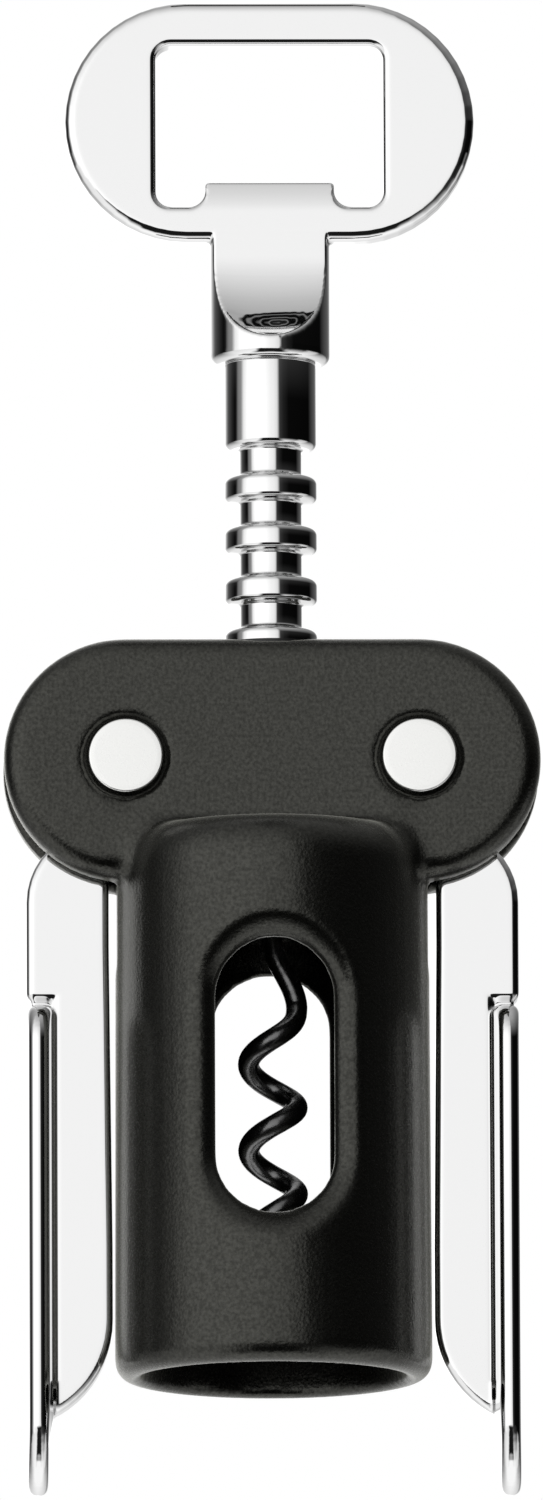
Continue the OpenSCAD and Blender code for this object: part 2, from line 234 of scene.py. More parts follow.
def to_object(name: str, bm: Solid) -> Piece:
    """Turns a bmesh in millimetres into an object in metres at the origin, and frees it."""
    bmesh.ops.scale(bm, vec=(MM, MM, MM), verts=bm.verts)
    mesh = bpy.data.meshes.new(name)
    bm.to_mesh(mesh)
    bm.free()
    piece = bpy.data.objects.new(name, mesh)
    bpy.context.scene.collection.objects.link(piece)
    return piece


def apply_modifiers(piece: Piece) -> None:
    """Replaces an object's mesh by what its modifiers make of it."""
    depsgraph = bpy.context.evaluated_depsgraph_get()
    finished = bpy.data.meshes.new_from_object(piece.evaluated_get(depsgraph))
    old = piece.data
    piece.modifiers.clear()
    piece.data = finished
    finished.name = piece.name
    bpy.data.meshes.remove(old)


def cut(piece: Piece, tool: Piece) -> None:
    """Takes a closed tool's shape out of a piece and removes the tool."""
    modifier = piece.modifiers.new("cut", "BOOLEAN")
    modifier.operation = "DIFFERENCE"
    modifier.solver = "MANIFOLD"
    modifier.object = tool
    apply_modifiers(piece)
    bpy.data.objects.remove(tool)


def fuse(piece: Piece, voxel: float, smoothing: int) -> None:
    """Melts overlapping shells into one skin and softens its edges.

    Args:
        piece: the object whose shells overlap.
        voxel: the skin's mesh size in millimetres.
        smoothing: how many passes soften it.
    """
    remesh = piece.modifiers.new("skin", "REMESH")
    remesh.mode = "VOXEL"
    remesh.voxel_size = voxel * MM
    remesh.adaptivity = 0
    smooth = piece.modifiers.new("soften", "SMOOTH")
    smooth.factor = 0.5
    smooth.iterations = smoothing
    apply_modifiers(piece)


def shade(piece: Piece, sharp_angle: float = 35) -> None:
    """Shades a piece smooth, with edges above an angle in degrees kept sharp."""
    mesh = piece.data
    mesh.shade_smooth()
    mesh.set_sharp_from_angle(angle=math.radians(sharp_angle))


# --- Finishes ----------------------------------------------------------------

Socket = bpy.types.NodeSocket
Tree = bpy.types.NodeTree
Colour = tuple[float, float, float, float]


def linear(hex_colour: str) -> Colour:
    """Turns an sRGB hex colour such as "e8e9ea" into linear RGBA."""
    channels = [int(hex_colour[i:i + 2], 16) / 255 for i in (0, 2, 4)]
    return (*(c / 12.92 if c <= 0.04045 else ((c + 0.055) / 1.055) ** 2.4 for c in channels), 1.0)


def grey(level: float) -> Colour:
    """The linear grey of a brightness, which may be above 1."""
    return (level, level, level, 1.0)


def add_node(tree: Tree, kind: str, links: dict | None = None, values: dict | None = None,
             **settings: object) -> bpy.types.Node:
    """Adds a node to a tree.

    Args:
        tree: the node tree.
        kind: the node's type name.
        links: which output feeds which input.
        values: values of unlinked inputs.
        settings: attributes of the node.

    Returns:
        The new node.
    """
    node = tree.nodes.new(kind)
    for key, value in settings.items():
        setattr(node, key, value)
    for socket, value in (values or {}).items():
        node.inputs[socket].default_value = value
    for socket, source in (links or {}).items():
        tree.links.new(source, node.inputs[socket])
    return node


def fed(tree: Tree, kind: str, inputs: dict, output: int | str = 0, **settings: object) -> Socket:
    """Adds a node whose inputs are sockets or plain values.

    Args:
        tree: the node tree.
        kind: the node's type name.
        inputs: a socket or a value for each input.
        output: which output is wanted.
        settings: attributes of the node.

    Returns:
        The wanted output.
    """
    links = {key: value for key, value in inputs.items() if isinstance(value, Socket)}
    values = {key: value for key, value in inputs.items() if key not in links}
    return add_node(tree, kind, links, values, **settings).outputs[output]


def maths(tree: Tree, operation: str, *operands: Socket | float) -> Socket:
    """Adds a math node on one or two operands and returns its result."""
    return fed(tree, "ShaderNodeMath", dict(enumerate(operands)), operation=operation)


def mixed(tree: Tree, factor: Socket, one: Socket | Colour, two: Socket | Colour) -> Socket:
    """Mixes two colours by a factor, from the first to the second."""
    return fed(tree, "ShaderNodeMix", {"Factor": factor, "A": one, "B": two}, 2, data_type="RGBA")


def spread(tree: Tree, source: Socket, low: float, high: float, start: float = 0.0,
           end: float = 1.0) -> Socket:
    """Maps a value that runs from start to end onto the range low to high."""
    return fed(tree, "ShaderNodeMapRange", {"Value": source, "From Min": start, "From Max": end,
                                            "To Min": low, "To Max": high})


def noise(tree: Tree, place: Socket, size: float, detail: float, **values: float) -> Socket:
    """Adds a cloudy pattern.

    Args:
        tree: the node tree.
        place: the coordinates, in metres.
        size: the pattern's size in millimetres.
        detail: how many finer layers it has.
        values: other inputs of the texture.

    Returns:
        The pattern's value.
    """
    return fed(tree, "ShaderNodeTexNoise",
               {"Vector": place, "Scale": 1 / (size * MM), "Detail": detail, **values}, "Fac")


def bumps(tree: Tree, height: Socket, depth: float) -> Socket:
    """Turns a height pattern into a normal, for a depth in millimetres."""
    return fed(tree, "ShaderNodeBump", {"Height": height, "Strength": 1.0, "Distance": depth * MM})


def new_material(name: str) -> tuple[Material, Tree, Socket]:
    """Starts an empty material and returns it with its tree and Object coordinates."""
    material = bpy.data.materials.new(name)
    material.use_nodes = True
    tree = material.node_tree
    tree.nodes.clear()
    return material, tree, add_node(tree, "ShaderNodeTexCoord").outputs["Object"]


def cover(tree: Tree, inputs: dict) -> None:
    """Ends a material in one surface shader with the given inputs."""
    add_node(tree, "ShaderNodeOutputMaterial", {"Surface": fed(tree, "ShaderNodeBsdfPrincipled", inputs)})


@dataclass(frozen=True)
class MouldedSkin:
    """Glass-filled nylon, moulded against a finely spark-eroded tool.

    Near black in itself: what shows is a soft, grainy sheen of the room.
    """

    name: str = "moulded_nylon"
    colour: str = "070706"
    worn_colour: str = "0c0c0a"
    glint: str = "fffff4"
    roughness: float = 0.24
    cloud: float = 9.0
    grain: float = 0.27
    grain_height: float = 0.015
    pit: float = 0.378
    speck: float = 0.4
    speck_contrast: float = 0.13
    sheen: float = 0.8
    sheen_roughness: float = 0.35

    def build(self) -> Material:
        """Returns the material."""
        material, tree, place = new_material(self.name)
        grain = noise(tree, place, self.grain, 2.0, Roughness=0.6)
        pits = fed(tree, "ShaderNodeTexVoronoi", {"Vector": place, "Scale": 1 / (self.pit * MM)}, "Distance")
        specks = noise(tree, place, self.speck, 1.0)
        cover(tree, {
            "Base Color": mixed(tree, noise(tree, place, self.cloud, 3.0),
                                linear(self.colour), linear(self.worn_colour)),
            "Specular IOR Level": spread(tree, specks, 0.5 - self.speck_contrast,
                                         0.5 + self.speck_contrast, 0.3, 0.7),
            "Roughness": spread(tree, grain, self.roughness - 0.06, self.roughness + 0.1),
            "Normal": bumps(tree, maths(tree, "ADD", grain, pits), self.grain_height),
            "IOR": 1.6, "Metallic": 0.0, "Specular Tint": linear(self.glint),
            "Sheen Weight": self.sheen, "Sheen Roughness": self.sheen_roughness,
            "Sheen Tint": linear(self.glint),
        })
        return material


@dataclass(frozen=True)
class ChromePlate:
    """Bright chrome over polished metal: a cool mirror with a trace of handling."""

    name: str
    colour: str = "ededed"
    roughness: float = 0.02
    haze: float = 0.015
    smear: float = 7.0
    wave: float = 5.0
    wave_height: float = 0.0006

    def build(self) -> Material:
        """Returns the material."""
        material, tree, place = new_material(self.name)
        cover(tree, {
            "Base Color": linear(self.colour), "Metallic": 1.0,
            "Roughness": spread(tree, noise(tree, place, self.smear, 5.0),
                                self.roughness, self.roughness + self.haze, 0.35, 0.75),
            "Normal": bumps(tree, noise(tree, place, self.wave, 1.0), self.wave_height),
        })
        return material


@dataclass(frozen=True)
class BlastedSteel:
    """Steel, faced on a lathe and blasted: an even satin, pale when clean and dark when oiled."""

    name: str
    colour: str = "f5f5f3"
    roughness: float = 0.26
    grit: float = 0.12
    grit_height: float = 0.0012

    def build(self) -> Material:
        """Returns the material."""
        material, tree, place = new_material(self.name)
        grit = noise(tree, place, self.grit, 2.0)
        cover(tree, {
            "Base Color": linear(self.colour), "Metallic": 1.0,
            "Roughness": spread(tree, grit, self.roughness - 0.05, self.roughness + 0.05),
            "Normal": bumps(tree, grit, self.grit_height),
        })
        return material


@dataclass(frozen=True)
class WormCoat:
    """Black low-friction coating baked on the worm's drawn wire: semi-gloss, a little uneven."""

    name: str = "worm_coat"
    colour: str = "0e0e0e"
    roughness: float = 0.24
    peel: float = 0.7
    peel_height: float = 0.035

    def build(self) -> Material:
        """Returns the material."""
        material, tree, place = new_material(self.name)
        peel = noise(tree, place, self.peel, 3.0)
        cover(tree, {
            "Base Color": linear(self.colour), "IOR": 2.4, "Metallic": 0.0,
            "Roughness": spread(tree, peel, self.roughness - 0.08, self.roughness + 0.1),
            "Normal": bumps(tree, peel, self.peel_height),
        })
        return material


@dataclass(frozen=True)
class BlackNylon:
    """Black graphited nylon, moulded smooth: the bushes and washers that run on steel."""

    name: str = "black_nylon"
    colour: str = "151515"
    shade_colour: str = "1d1d1c"
    roughness: float = 0.42
    cloud: float = 2.0
    cloud_height: float = 0.01

    def build(self) -> Material:
        """Returns the material."""
        material, tree, place = new_material(self.name)
        cloud = noise(tree, place, self.cloud, 3.0)
        cover(tree, {
            "Base Color": mixed(tree, cloud, linear(self.colour), linear(self.shade_colour)),
            "Normal": bumps(tree, cloud, self.cloud_height),
            "Roughness": self.roughness, "IOR": 1.53,
        })
        return material


# --- Sub-assemblies ----------------------------------------------------------


def joint_place(name: str) -> Vector:
    """Where a joint's axis passes, in millimetres."""
    return next(Vector(j["pos_m"]) for j in frame["joints"] if j["name"] == name) / MM


def box_mm(node: str) -> tuple[Vector, Vector]:
    """Lowest and highest corner of a CAD node, in millimetres."""
    low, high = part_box(node)
    return low / MM, high / MM


def hand_over(piece: Piece, body: str, node: str, finish: Material) -> None:
    """Finishes a piece that stands for a CAD node.

    Args:
        piece: the finished object.
        body: the body that it rides on.
        node: the CAD node that it replaces.
        finish: the material.
    """
    piece.data.materials.clear()
    piece.data.materials.append(finish)
    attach(piece, body)
    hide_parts(node)
    log.info("%s: %d faces on %s", piece.name, len(piece.data.polygons), body)


@dataclass
class Housing:
    """The bell and crosshead, in one moulding."""

    finish: Material
    bell_r: float = 18.25
    cross_face: float = 8.05
    cross_low: float = 56.0
    cross_high: float = 66.5
    window_w: float = 13.7
    window_low: float = 17.2
    window_high: float = 49.1
    flare: float = 2.9
    flare_from: float = 22.0
    flare_to: float = 58.0
    flare_steps: int = 8
    cutter_out: float = 6.0
    cutter_in: float = 3.0
    blend: float = 3.2
    blend_depth: float = 1.5
    blend_passes: int = 60
    skin_voxel: float = 0.46
    softening: int = 9
    kept_share: float = 0.8

    def window_flare(self, front: int) -> Piece:
        """Makes the cutter that rounds a sight window's outside edge.

        Args:
            front: -1 for the front window, 1 for the rear one.

        Returns:
            A closed object that follows the bell's curve.
        """
        reach = self.window_w / 2 + self.flare
        low, high = self.window_low - self.flare, self.window_high + self.flare
        outline = rounded([(-reach, low, reach), (reach, low, reach),
                           (reach, high, reach), (-reach, high, reach)])
        bm = prism(outline, -self.bell_r - self.cutter_out, -self.bell_r)
        inner = max(bm.faces, key=lambda f: f.normal.y)
        start, end = math.radians(self.flare_from), math.radians(self.flare_to)
        arc_r = self.flare / (math.sin(end) - math.sin(start))
        for k in range(self.flare_steps):
            one = start + (end - start) * k / self.flare_steps
            two = start + (end - start) * (k + 1) / self.flare_steps
            inner = self.step_in(bm, inner, arc_r * (math.sin(two) - math.sin(one)),
                                 arc_r * (math.cos(one) - math.cos(two)))
        self.step_in(bm, inner, 0, self.cutter_in)
        for vert in bm.verts:
            vert.co.y += self.bell_r - math.sqrt(self.bell_r ** 2 - vert.co.x ** 2)
        if front > 0:
            moved(bm, Matrix.Scale(-1, 4, (0, 1, 0)))
        return to_object("window_flare", bm)

    def step_in(self, bm: Solid, face: Face, shrink: float,
                deeper: float) -> Face:
        """Extrudes the cutter's inner face.

        Args:
            bm: the cutter.
            face: its inner face, a slot's outline.
            shrink: how much smaller the next outline is all round.
            deeper: how much further in it lies.

        Returns:
            The new inner face.
        """
        face = extruded(bm, face)
        reach = max(v.co.x for v in face.verts)
        low = min(v.co.z for v in face.verts) + reach
        high = max(v.co.z for v in face.verts) - reach
        for vert in face.verts:
            centre = Vector((0, vert.co.y, min(high, max(low, vert.co.z))))
            vert.co = centre + (vert.co - centre) * (reach - shrink) / reach
            vert.co.y += deeper
        return face

    def soften_blend(self, piece: Piece) -> None:
        """Melts the crease between bell and crosshead and thins the mesh."""
        group = piece.vertex_groups.new(name="blend")
        for vert in piece.data.vertices:
            x, y, z = vert.co / MM
            from_face = abs(abs(y) - self.cross_face)
            from_bell = abs(math.hypot(x, y) - self.bell_r)
            near = 1 - math.hypot(from_face, from_bell) / self.blend
            outside = abs(y) > self.cross_face - self.blend_depth
            if near > 0 and outside and self.cross_low < z < self.cross_high:
                group.add([vert.index], min(1.0, 1.6 * near), "REPLACE")
        smooth = piece.modifiers.new("blend", "SMOOTH")
        smooth.factor = 0.5
        smooth.iterations = self.blend_passes
        smooth.vertex_group = group.name
        thin = piece.modifiers.new("thin", "DECIMATE")
        thin.ratio = self.kept_share
        apply_modifiers(piece)

    def build(self) -> Piece:
        """Builds the housing from the frame's own solid and rides it on its body."""
        bm = bmesh.new()
        bm.from_mesh(frame["nodes"]["housing"].data)
        bmesh.ops.remove_doubles(bm, verts=bm.verts, dist=1e-7)
        bmesh.ops.scale(bm, vec=(1 / MM, 1 / MM, 1 / MM), verts=bm.verts)
        piece = to_object("housing_shell", bm)
        for front in (-1, 1):
            cut(piece, self.window_flare(front))
        fuse(piece, self.skin_voxel, self.softening)
        self.soften_blend(piece)
        shade(piece, 60)
        hand_over(piece, "housing_frame", "housing", self.finish)
        return piece


@dataclass
class PivotRivets:
    """Polished heads at both ends of the two lever pins."""

    finish: Material
    head_r: float = 4.3
    head_round: float = 0.22
    dish_r: float = 3.6
    crown: float = 0.06
    shank_r: float = 2.5
    under_r: float = 4.1

    def head_profile(self, base: float, top: float) -> Outline:
        """Profile of a head from its underside up to its faintly crowned face."""
        return rounded([
            (self.head_r, base, 0.15),
            (self.head_r, top - self.crown, self.head_round),
            (self.dish_r, top - self.crown / 2, 0.8),
            (0, top, 0),
        ], closed=False)

    def build(self, side: Side) -> None:
        """Builds the pin and its cap on one side."""
        pivot = joint_place(f"{side.word}_lever_swing")
        low, high = box_mm(f"pivot_pin_{side.word}")
        cap_low, cap_high = box_mm(f"pivot_cap_{side.word}")
        seat = cap_low.y
        place = Matrix.Translation((pivot.x, 0, pivot.z)) @ Matrix.Rotation(math.radians(90), 4, "X")
        flip = Matrix.Scale(-1, 4, (0, 0, 1))
        for kind, matrix, foot, top in (("pin", place, -high.y, -low.y),
                                        ("cap", place @ flip, high.y, cap_high.y)):
            shank = [(0, foot), (self.shank_r, foot), (self.shank_r, seat), (self.under_r, seat)]
            bm = turned(shank + self.head_profile(seat, top))
            piece = to_object(f"rivet_{kind}_{side.word}", moved(bm, matrix))
            shade(piece)
            hand_over(piece, "housing_frame", f"pivot_{kind}_{side.word}", self.finish)


@dataclass
class Lever:
    """One palm lever: pinion, web and flange."""

    finish: Material
    side: Side
    web_t: float = 5.0
    web_low_x: float = 18.6
    web_high_x: float = 18.95
    web_end_r: float = 12.4
    web_end_z: float = 6.5
    outside_x: float = 28.5
    shoulder_z: float = 55.3
    shoulder_r: float = 8.6
    shoulder_turn: float = 36.0
    overlap: float = 0.3
    flange_top: float = 43.7
    dome_top: float = 42.9
    flange_corner: float = 4.2
    rib_t: float = 2.4
    rib_low: float = 3.0
    pocket_z: float = 40.6
    fade_low: float = -9.0
    fade_reach: float = 6.0
    flange_mid_t: float = 3.2
    flange_edge_t: float = 2.15
    crown: float = 0.25
    teeth: int = 13
    cut_teeth: int = 8
    tip_r: float = 13.1
    root_r: float = 11.2
    tip_half: float = 1.1
    base_half: float = 1.5
    first_tooth: float = 210.46
    bore_r: float = 3.5
    edge_round: float = 0.8
    voxel: float = 0.225
    softening: int = 3

    def web(self, pivot: Vector) -> Solid:
        """The flat arm from the pinion down to its round lower end, with the rib behind the flange."""
        back = self.outside_x - self.flange_mid_t + self.overlap
        corner = self.shoulder_r
        end_x = self.web_low_x + self.web_end_r
        end_z = self.web_end_z - math.sqrt(self.web_end_r ** 2 - (end_x - back) ** 2)
        outline = rounded([
            (self.web_low_x, 15, 0),
            (self.web_low_x, self.web_end_z, 0),
            *[(self.web_low_x + self.web_end_r * (1 - math.cos(math.radians(a))),
               self.web_end_z - self.web_end_r * math.sin(math.radians(a)), 0) for a in range(6, 61, 6)],
            (back, end_z, 0),
            (back, self.flange_top, 0),
            (self.outside_x, self.flange_top, 0),
            *[(self.outside_x - corner * (1 - math.cos(math.radians(a))),
               self.shoulder_z + corner * math.sin(math.radians(a)), 0) for a in range(0, 46, 9)],
            (pivot.x + self.root_r * math.cos(math.radians(self.shoulder_turn)),
             pivot.z - self.root_r * math.sin(math.radians(self.shoulder_turn)), 0),
            (pivot.x, pivot.z, 0),
            (self.web_high_x, pivot.z - self.root_r, 0),
            (self.web_high_x, 50, 0),
        ])
        bm = prism(outline, -self.web_t / 2, self.web_t / 2)
        round_edges(bm, self.edge_round, 4, 60)
        half, thin, step = self.web_t / 2, self.rib_t / 2, self.flange_top + self.edge_round
        rib = [(-thin, self.rib_low), (thin, self.rib_low), (thin, self.pocket_z),
               (half, step), (-half, step), (-thin, self.pocket_z)]
        return joined(bm, prism(rib, back - 2, self.outside_x - 0.6, "X"))

    def pinion(self, pivot: Vector) -> Solid:
        """The toothed hub, a little proud of the web."""
        outline = []
        step = 360 / self.teeth
        for i in range(self.cut_teeth):
            middle = math.radians(self.first_tooth - i * step)
            for radius, half in ((self.root_r, self.base_half), (self.tip_r, self.tip_half),
                                 (self.tip_r, -self.tip_half), (self.root_r, -self.base_half)):
                angle = middle + half / radius
                outline.append((pivot.x + radius * math.cos(angle), pivot.z + radius * math.sin(angle)))
        beside = step * 13 / 30
        last = self.first_tooth - (self.cut_teeth - 1) * step - beside
        for k in range(13):
            angle = math.radians(last + (self.first_tooth + beside - 360 - last) * k / 12)
            outline.append((pivot.x + self.root_r * math.cos(angle), pivot.z + self.root_r * math.sin(angle)))
        bm = prism(outline, -self.web_t / 2 - 0.04, self.web_t / 2 + 0.04)
        round_edges(bm, 0.25, 2, 60)
        return bm

    def flange(self, low: float, half: float) -> Solid:
        """The palm rest across the web's outside edge.

        Args:
            low: height of its lowest point.
            half: half of its width.

        Returns:
            A closed solid with a crowned outside and a sloped inside.
        """
        outline = rounded([
            (-half, low, half), (half, low, half),
            (half, self.dome_top, self.flange_corner), (-half, self.dome_top, self.flange_corner),
        ])
        edge_in = self.outside_x - self.crown - self.flange_edge_t
        bm = prism(outline, edge_in, self.outside_x - self.crown, "X")
        round_edges(bm, self.flange_edge_t / 2 - 0.02, 6, 60, clamp=True)
        for y in (-self.web_t / 2, 0, self.web_t / 2, *(k * half / 6 for k in range(-5, 6) if abs(k) > 1)):
            slice_across(bm, "Y", y)
        for z in range(-12, 0):
            slice_across(bm, "Z", z)
        middle = edge_in + self.flange_edge_t / 2
        thicken = self.flange_mid_t - self.flange_edge_t - self.crown
        for vert in bm.verts:
            across = min(1.0, abs(vert.co.y) / half)
            if vert.co.x > middle:
                vert.co.x += self.crown * (1 - across ** 2)
            else:
                slope = (half - abs(vert.co.y)) / (half - self.web_t / 2)
                fade = min(1.0, max(0.0, (vert.co.z - self.fade_low) / self.fade_reach))
                vert.co.x -= thicken * min(1.0, max(0.0, slope)) * fade ** 2 * (3 - 2 * fade)
        return bm

    def build(self) -> Piece:
        """Builds the lever on its own side and rides it on its arm."""
        word = self.side.word
        pivot = joint_place("right_lever_swing")
        low, high = box_mm(f"lever_{word}")
        piece = to_object(f"palm_lever_{word}", joined(
            self.web(pivot), self.pinion(pivot), self.flange(low.z, high.y)))
        bore = prism(rounded([(pivot.x + s * self.bore_r, pivot.z + t * self.bore_r, self.bore_r - 0.001)
                              for s, t in ((-1, -1), (1, -1), (1, 1), (-1, 1))]), -9, 9)
        fuse(piece, self.voxel, self.softening)
        cut(piece, to_object("bore", bore))
        if self.side is Side.LEFT:
            piece.data.transform(Matrix.Scale(-1, 4, (1, 0, 0)))
            piece.data.flip_normals()
        shade(piece, 50)
        hand_over(piece, f"{word}_arm", f"lever_{word}", self.finish)
        return piece


@dataclass
class RackSpindle:
    """The turned rod with rack rings all round."""

    finish: Material
    rack_r: float = 5.35
    root_r: float = 3.58
    pitch: float = 6.0
    top_ring: float = 102.5
    rings: int = 8
    band: float = 2.6
    rim_low: float = 0.6
    rim_high: float = 0.75
    collar_r: float = 5.3
    collar_low: float = 108.6
    neck_low: float = 118.7
    tenon_r: float = 3.0
    land_top: float = 57.4
    groove_low: float = 52.95
    groove_high: float = 53.85
    groove_r: float = 4.2

    def build(self) -> Piece:
        """Builds the spindle and rides it on the turning body."""
        low, high = box_mm("rack_spindle")
        corners = [
            (0, low.z, 0), (self.rack_r, low.z, 0.4), (self.rack_r, self.groove_low, 0.1),
            (self.groove_r, self.groove_low, 0), (self.groove_r, self.groove_high, 0),
            (self.rack_r, self.groove_high, 0.1), (self.rack_r, self.land_top, 0.4),
            (self.root_r, self.land_top, 0.3),
        ]
        for i in reversed(range(self.rings)):
            z = self.top_ring - i * self.pitch
            corners += [
                (self.root_r, z - 0.15, 0.3), (self.rack_r, z, self.rim_low),
                (self.rack_r, z + self.band, self.rim_high), (self.root_r, z + self.band + 0.45, 0.4),
            ]
        corners += [
            (self.root_r, self.collar_low, 0.3), (self.collar_r, self.collar_low, 0.8),
            (self.collar_r, self.neck_low, 0.15), (self.tenon_r, self.neck_low, 0),
            (self.tenon_r, high.z, 0.3), (0, high.z, 0),
        ]
        piece = to_object("ring_spindle", turned(rounded(corners, closed=False)))
        shade(piece)
        hand_over(piece, "spindle", "rack_spindle", self.finish)
        return piece


@dataclass
class OpenerHandle:
    """The ring handle with the crown-cap window and its scooped neck."""

    finish: Material
    plate_t: float = 4.6
    ring_h: float = 28.2
    edge_round: float = 1.1
    window_round: float = 0.7
    window_steps: int = 4
    window_w: float = 26.5
    window_low: float = 137.15
    window_high: float = 156.2
    window_corner: float = 1.7
    lip_w: float = 15.0
    lip_top: float = 140.0
    lip_low: float = 136.7
    lip_drop: float = 0.6
    lip_curve: float = 1.7
    lip_round: float = 0.45
    notch_r: float = 1.9
    neck_r: float = 6.93
    neck_low: float = 118.7
    neck_round: float = 1.0
    neck_over: float = 6.0
    scoop_r: float = 12.9
    scoop_z: float = 130.9
    scoop_dish: float = 0.02
    tool_reach: float = 30.0
    voxel: float = 0.19
    softening: int = 3

    def ring(self, half_w: float, top: float) -> Solid:
        """The flat ring without its window."""
        low = top - self.ring_h
        outline = rounded([(s * half_w, z, self.ring_h / 2)
                           for s, z in ((-1, low), (1, low), (1, top), (-1, top))])
        bm = prism(outline, -self.plate_t / 2, self.plate_t / 2)
        round_edges(bm, self.edge_round, 4, 60)
        return bm

    def window(self) -> Solid:
        """The window's cutter, flared where it meets the ring's two faces."""
        half, lip = self.window_w / 2, self.lip_w / 2 - 0.01
        outline = rounded([
            (-half, self.window_low, self.window_corner),
            (-lip, self.window_low, self.notch_r),
            (-lip, self.lip_top, self.lip_round),
            (lip, self.lip_top, self.lip_round),
            (lip, self.window_low, self.notch_r),
            (half, self.window_low, self.window_corner),
            (half, self.window_high, self.window_corner),
            (-half, self.window_high, self.window_corner),
        ])
        reach = self.plate_t / 2
        bm = prism(outline, -reach + self.window_round, reach - self.window_round)
        for toward in (-1, 1):
            face = max(bm.faces, key=lambda f: f.normal.y * toward)
            flare, depth = 0.0, 0.0
            for k in range(1, self.window_steps + 1):
                angle = math.radians(90 * k / self.window_steps)
                next_flare = self.window_round * (1 - math.cos(angle))
                next_depth = self.window_round * math.sin(angle)
                face = extruded(bm, face)
                bmesh.ops.translate(bm, verts=face.verts, vec=(0, toward * (next_depth - depth), 0))
                self.widen(face, next_flare - flare)
                flare, depth = next_flare, next_depth
            face = extruded(bm, face)
            bmesh.ops.translate(bm, verts=face.verts, vec=(0, toward * 2, 0))
        bmesh.ops.recalc_face_normals(bm, faces=bm.faces)
        return bm

    @staticmethod
    def widen(face: Face, amount: float) -> None:
        """Moves the corners of a face in the XZ plane outwards by an amount."""
        shifts = []
        for loop in face.loops:
            here = loop.vert.co
            before = (here - loop.link_loop_prev.vert.co).normalized()
            after = (loop.link_loop_next.vert.co - here).normalized()
            out = (before.cross(face.normal) + after.cross(face.normal)).normalized()
            shifts.append(out * amount / max(0.5, out.dot(after.cross(face.normal))))
        for loop, shift in zip(face.loops, shifts):
            loop.vert.co += shift

    def neck(self) -> Piece:
        """The round neck, scooped front and rear to the ring's thickness."""
        top = self.scoop_z + self.neck_over
        profile = rounded([
            (0, self.neck_low, 0), (self.neck_r, self.neck_low, self.neck_round),
            (self.neck_r, top, 0), (0, top, 0),
        ], closed=False)
        piece = to_object("neck", turned(profile))
        for side in (-1, 1):
            face_y = side * self.plate_t / 2
            centre_y = side * (self.plate_t / 2 + self.scoop_r)
            wall = [(centre_y - side * self.scoop_r * math.cos(math.radians(a)),
                     self.scoop_z - self.scoop_r * math.sin(math.radians(a))) for a in range(0, 91, 3)]
            outer_y, over = side * self.tool_reach, self.scoop_z + 9
            outline = wall + [(outer_y, self.scoop_z - self.scoop_r), (outer_y, over), (face_y, over)]
            tool = prism(outline, -8, 8, "X")
            for x in range(-7, 8):
                slice_across(tool, "X", x)
            for vert in tool.verts:
                share = max(0.0, self.scoop_z - vert.co.z) / self.scoop_r
                vert.co.z += self.scoop_dish * vert.co.x ** 2 * share
            cut(piece, to_object("scoop", tool))
        return piece

    def build(self) -> Piece:
        """Builds the handle and rides it on the turning body."""
        high = box_mm("opener_handle")[1]
        piece = to_object("opener_ring", self.ring(high.x, high.z))
        cut(piece, to_object("window", self.window()))
        for side in (-1, 1):
            face_y, rise = self.plate_t / 2, self.lip_top - self.lip_low
            slope = [(side * (face_y - self.lip_drop * (k / 8) ** self.lip_curve),
                      self.lip_low + rise * k / 8) for k in range(9)]
            taper = slope + [(side * (face_y - self.lip_drop), self.lip_top + 1),
                             (side * 6, self.lip_top + 1), (side * 6, self.lip_low)]
            reach = self.lip_w / 2 + self.notch_r
            cut(piece, to_object("taper", prism(taper, -reach, reach, "X")))
        neck = self.neck()
        both = bmesh.new()
        for part in (piece, neck):
            both.from_mesh(part.data)
        bpy.data.objects.remove(neck)
        both.to_mesh(piece.data)
        both.free()
        fuse(piece, self.voxel, self.softening)
        shade(piece, 50)
        hand_over(piece, "spindle", "opener_handle", self.finish)
        return piece


